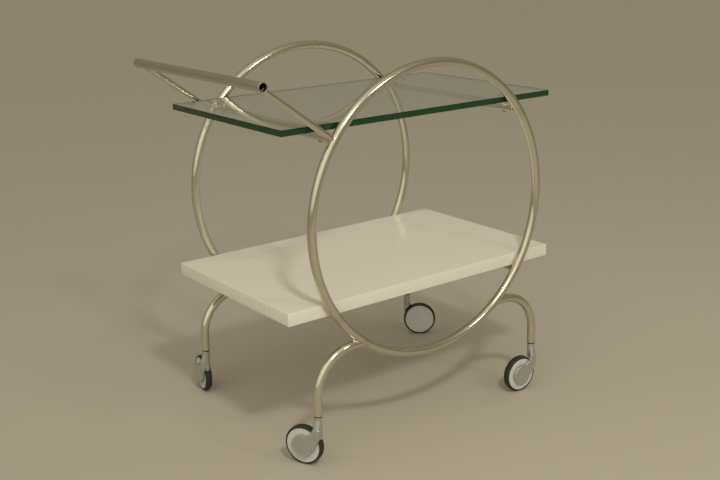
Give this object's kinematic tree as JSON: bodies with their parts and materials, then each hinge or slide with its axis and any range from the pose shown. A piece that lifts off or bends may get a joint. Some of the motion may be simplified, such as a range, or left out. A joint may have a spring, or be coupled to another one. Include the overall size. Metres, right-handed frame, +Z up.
{
  "type": "bar cart",
  "caption": "Wheeled serving cart: round tube hoops carry a glass top shelf and a board shelf, with a push handle and swivel casters on bent legs.",
  "frame": {"origin": "on the floor, under the middle of the whole cart's bounding box", "axes": "+X along the shelves, away from the handle; +Y to the left of a person pushing the cart by its handle; +Z up"},
  "size_m": [0.751, 0.5204, 0.762],
  "materials": {
    "nickel_tube": "polished nickel-plated steel tube",
    "handle_bar": "satin nickel-plated steel tube",
    "shelf_glass": "clear float glass, green at the polished edges",
    "glass_pad": "polished steel pad bonded to the glass",
    "screw": "plated steel",
    "shelf_board": "cream satin laminate on board",
    "caster_socket": "black moulded plastic",
    "pin": "bright steel",
    "caster_fork": "silver-grey satin casting",
    "wheel_hub": "pale grey moulded plastic",
    "tyre": "matt black rubber"
  },
  "bodies": {
    "frame": {"hoop_right": "nickel_tube", "hoop_left": "nickel_tube", "upper_rail_rear": "nickel_tube", "upper_rail_front": "nickel_tube", "lower_rail_rear": "nickel_tube", "lower_rail_front": "nickel_tube", "handle_arm_right": "nickel_tube", "handle_arm_left": "nickel_tube", "handle_bar": "handle_bar", "leg_rear_right": "nickel_tube", "leg_rear_left": "nickel_tube", "leg_front_right": "nickel_tube", "leg_front_left": "nickel_tube", "glass_shelf": "shelf_glass", "glass_pad_rear_right": "glass_pad", "glass_pad_rear_left": "glass_pad", "glass_pad_front_right": "glass_pad", "glass_pad_front_left": "glass_pad", "pad_screw_rear_right": "screw", "pad_screw_rear_left": "screw", "pad_screw_front_right": "screw", "pad_screw_front_left": "screw", "lower_shelf": "shelf_board", "shelf_screw_rear_right": "screw", "shelf_screw_rear_left": "screw", "shelf_screw_front_right": "screw", "shelf_screw_front_left": "screw", "caster_socket_rear_right": "caster_socket", "caster_socket_rear_left": "caster_socket", "caster_socket_front_right": "caster_socket", "caster_socket_front_left": "caster_socket", "caster_stem_rear_right": "pin", "caster_stem_rear_left": "pin", "caster_stem_front_right": "pin", "caster_stem_front_left": "pin"},
    "caster_rear_right": {"caster_fork_rear_right": "caster_fork", "wheel_axle_rear_right": "pin"},
    "caster_rear_left": {"caster_fork_rear_left": "caster_fork", "wheel_axle_rear_left": "pin"},
    "caster_front_right": {"caster_fork_front_right": "caster_fork", "wheel_axle_front_right": "pin"},
    "caster_front_left": {"caster_fork_front_left": "caster_fork", "wheel_axle_front_left": "pin"},
    "wheel_rear_right": {"wheel_hub_rear_right": "wheel_hub", "tyre_rear_right": "tyre"},
    "wheel_rear_left": {"wheel_hub_rear_left": "wheel_hub", "tyre_rear_left": "tyre"},
    "wheel_front_right": {"wheel_hub_front_right": "wheel_hub", "tyre_front_right": "tyre"},
    "wheel_front_left": {"wheel_hub_front_left": "wheel_hub", "tyre_front_left": "tyre"}
  },
  "joints": [
    {"name": "swivel_rear_right", "type": "hinge", "parent": "frame", "child": "caster_rear_right", "pos_m": [-0.26376, -0.2412, 0.1046], "axis": [0, 0, 1], "continuous": true},
    {"name": "swivel_rear_left", "type": "hinge", "parent": "frame", "child": "caster_rear_left", "pos_m": [-0.26376, 0.1888, 0.1046], "axis": [0, 0, 1], "continuous": true},
    {"name": "swivel_front_right", "type": "hinge", "parent": "frame", "child": "caster_front_right", "pos_m": [0.31724, -0.2412, 0.1046], "axis": [0, 0, 1], "continuous": true},
    {"name": "swivel_front_left", "type": "hinge", "parent": "frame", "child": "caster_front_left", "pos_m": [0.31724, 0.1888, 0.1046], "axis": [0, 0, 1], "continuous": true},
    {"name": "roll_rear_right", "type": "hinge", "parent": "caster_rear_right", "child": "wheel_rear_right", "pos_m": [-0.27664, -0.21187, 0.04], "axis": [-0.8957, -0.4446, 0], "continuous": true},
    {"name": "roll_rear_left", "type": "hinge", "parent": "caster_rear_left", "child": "wheel_rear_left", "pos_m": [-0.25607, 0.2199, 0.04], "axis": [-0.981, 0.1942, 0], "continuous": true},
    {"name": "roll_front_right", "type": "hinge", "parent": "caster_front_right", "child": "wheel_front_right", "pos_m": [0.28537, -0.23797, 0.04], "axis": [-0.0541, -0.9985, 0], "continuous": true},
    {"name": "roll_front_left", "type": "hinge", "parent": "caster_front_left", "child": "wheel_front_left", "pos_m": [0.34106, 0.16737, 0.04], "axis": [0.6334, 0.7738, 0], "continuous": true}
  ]
}
